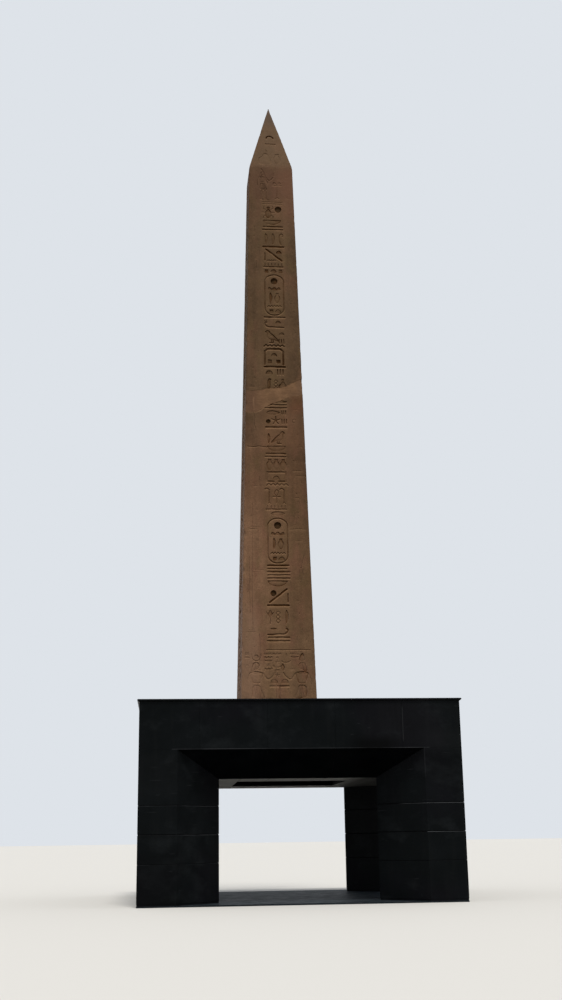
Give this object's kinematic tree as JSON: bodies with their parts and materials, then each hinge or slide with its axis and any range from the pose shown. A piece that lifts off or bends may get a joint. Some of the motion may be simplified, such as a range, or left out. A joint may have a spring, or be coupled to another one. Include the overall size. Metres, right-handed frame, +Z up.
{
  "type": "granite obelisk on a four-portal base",
  "caption": "Tapering carved granite shaft with a pointed cap, repaired across an old break, over a square black stone base with a splayed portal in each side.",
  "frame": {"origin": "centre of the base on the ground", "axes": "+X right and +Y away from the viewer when facing the front, +Z up along the shaft"},
  "size_m": [7.29, 7.29, 21.74],
  "materials": {
    "shaft_granite": "matte",
    "repair_mortar": "matte",
    "black_stone": "satin",
    "coping_stone": "satin",
    "floor_stone": "polished",
    "roof_stone": "matte",
    "ceiling_panel": "matte",
    "dark_lining": "matte",
    "concrete": "matte",
    "bearing_rubber": "matte"
  },
  "bodies": {
    "root": {"floor_slab": "floor_stone", "foot_course_front_right": "black_stone", "foot_course_back_right": "black_stone", "foot_course_back_left": "black_stone", "foot_course_front_left": "black_stone", "pier_front_right": "black_stone", "pier_back_right": "black_stone", "pier_back_left": "black_stone", "pier_front_left": "black_stone", "soffit_front": "black_stone", "soffit_right": "black_stone", "soffit_back": "black_stone", "soffit_left": "black_stone", "lintel_front": "black_stone", "lintel_right": "black_stone", "lintel_back": "black_stone", "lintel_left": "black_stone", "coping_front": "coping_stone", "coping_right": "coping_stone", "coping_back": "coping_stone", "coping_left": "coping_stone", "ceiling_front": "ceiling_panel", "ceiling_right": "ceiling_panel", "ceiling_back": "ceiling_panel", "ceiling_left": "ceiling_panel", "opening_lining_front": "dark_lining", "opening_lining_right": "dark_lining", "opening_lining_back": "dark_lining", "opening_lining_left": "dark_lining", "ring_beam_front": "concrete", "ring_beam_right": "concrete", "ring_beam_back": "concrete", "ring_beam_left": "concrete", "cross_beam_left": "concrete", "cross_beam_right": "concrete", "tie_beam_front": "concrete", "tie_beam_back": "concrete", "bearing_pads": "bearing_rubber", "roof_slab_front": "roof_stone", "roof_slab_right": "roof_stone", "roof_slab_back": "roof_stone", "roof_slab_left": "roof_stone", "shaft_lower_fragment": "shaft_granite", "shaft_repair_band": "repair_mortar", "shaft_upper_fragment": "shaft_granite"}
  },
  "joints": []
}
